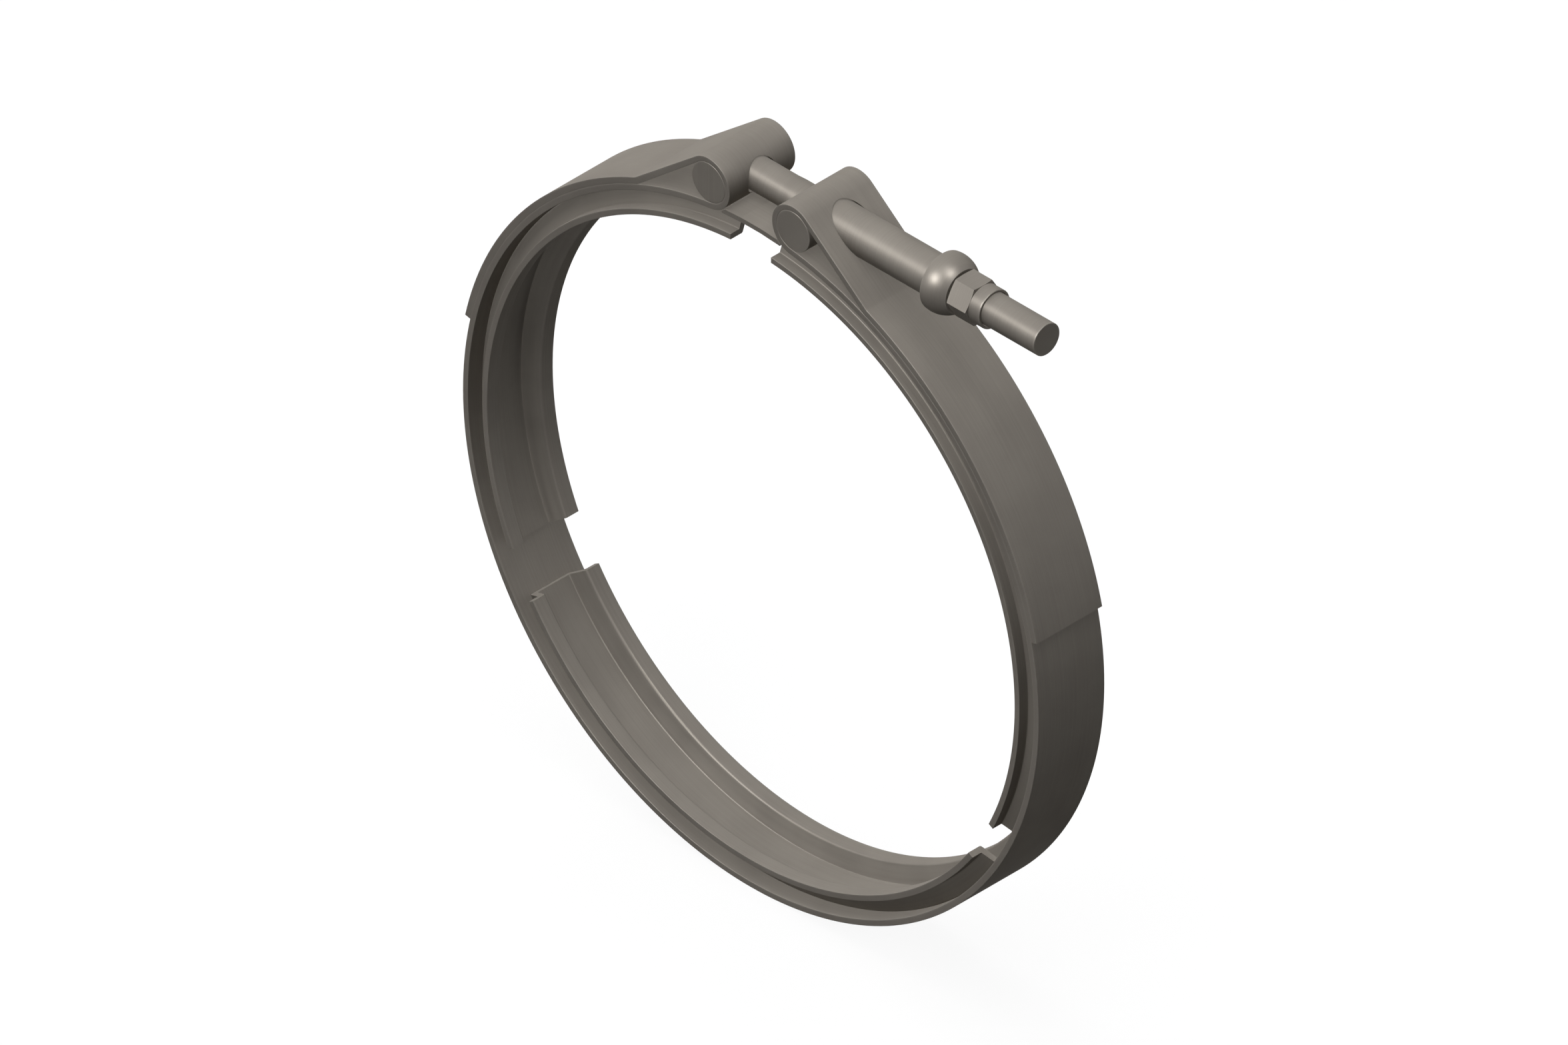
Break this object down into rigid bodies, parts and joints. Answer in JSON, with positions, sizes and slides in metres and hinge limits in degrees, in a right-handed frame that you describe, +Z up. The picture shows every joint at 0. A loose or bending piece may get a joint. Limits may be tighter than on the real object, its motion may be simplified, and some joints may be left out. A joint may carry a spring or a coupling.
{
  "type": "v-band clamp",
  "caption": "Ring clamp of rolled stainless strip with V-section retainers, closed by a T-bolt that runs through a trunnion, a spacer sleeve, a ball washer and a lock nut.",
  "frame": {"origin": "centre of the ring, half way along its width, where the two pipe flanges meet", "axes": "+X along the T-bolt towards the nut, +Y along the pipe, +Z up through the T-bolt"},
  "size_m": [0.176, 0.0202, 0.1875],
  "materials": {
    "stainless_strip": "satin rolled strip",
    "turned_steel": "fine turned, semi-gloss"
  },
  "bodies": {
    "root": {"strap_bottom": "stainless_strip", "retainer_bottom": "stainless_strip"},
    "left_arm": {"strap_left": "stainless_strip", "retainer_left": "stainless_strip"},
    "right_arm": {"strap_right": "stainless_strip", "retainer_right": "stainless_strip"},
    "tongue": {"strap_tongue": "stainless_strip"},
    "t_bolt": {"t_bolt": "turned_steel"},
    "trunnion": {"trunnion_pin": "turned_steel", "spacer_sleeve": "turned_steel"},
    "washer": {"ball_washer": "turned_steel"},
    "nut": {"lock_nut": "turned_steel"}
  },
  "joints": [
    {"name": "left_arm_flex", "type": "hinge", "parent": "root", "child": "left_arm", "pos_m": [-0.07563, 0, -0.04366], "axis": [0, -1, 0], "range_deg": [0, 2.65]},
    {"name": "right_arm_flex", "type": "hinge", "parent": "root", "child": "right_arm", "pos_m": [0.07563, 0, -0.04366], "axis": [0, 1, 0], "range_deg": [0, 2.65]},
    {"name": "tongue_flex", "type": "hinge", "parent": "left_arm", "child": "tongue", "pos_m": [-0.0089, 0, 0.08654], "axis": [0, 1, 0], "range_deg": [0, 2.65]},
    {"name": "t_bolt_pivot", "type": "hinge", "parent": "left_arm", "child": "t_bolt", "pos_m": [-0.01292, 0, 0.09227], "axis": [0, 1, 0], "range_deg": [0, 2.65]},
    {"name": "trunnion_pivot", "type": "hinge", "parent": "right_arm", "child": "trunnion", "pos_m": [0.01292, 0, 0.09227], "axis": [0, -1, 0], "range_deg": [0, 2.65]},
    {"name": "nut_travel", "type": "slide", "parent": "t_bolt", "child": "washer", "axis": [1, 0, 0], "range_m": [0, 0.0127]},
    {"name": "nut_spin", "type": "hinge", "parent": "washer", "child": "nut", "pos_m": [0.05822, 0, 0.09227], "axis": [1, 0, 0], "range_deg": [0, 4320]}
  ],
  "couplings": [
    {"joint": "nut_spin", "follows": "left_arm_flex", "ratio": 1630.7},
    {"joint": "nut_travel", "follows": "left_arm_flex", "m_per_rad": 0.27467},
    {"joint": "right_arm_flex", "follows": "left_arm_flex", "ratio": 1},
    {"joint": "tongue_flex", "follows": "left_arm_flex", "ratio": 1},
    {"joint": "t_bolt_pivot", "follows": "left_arm_flex", "ratio": 1},
    {"joint": "trunnion_pivot", "follows": "left_arm_flex", "ratio": 1}
  ]
}
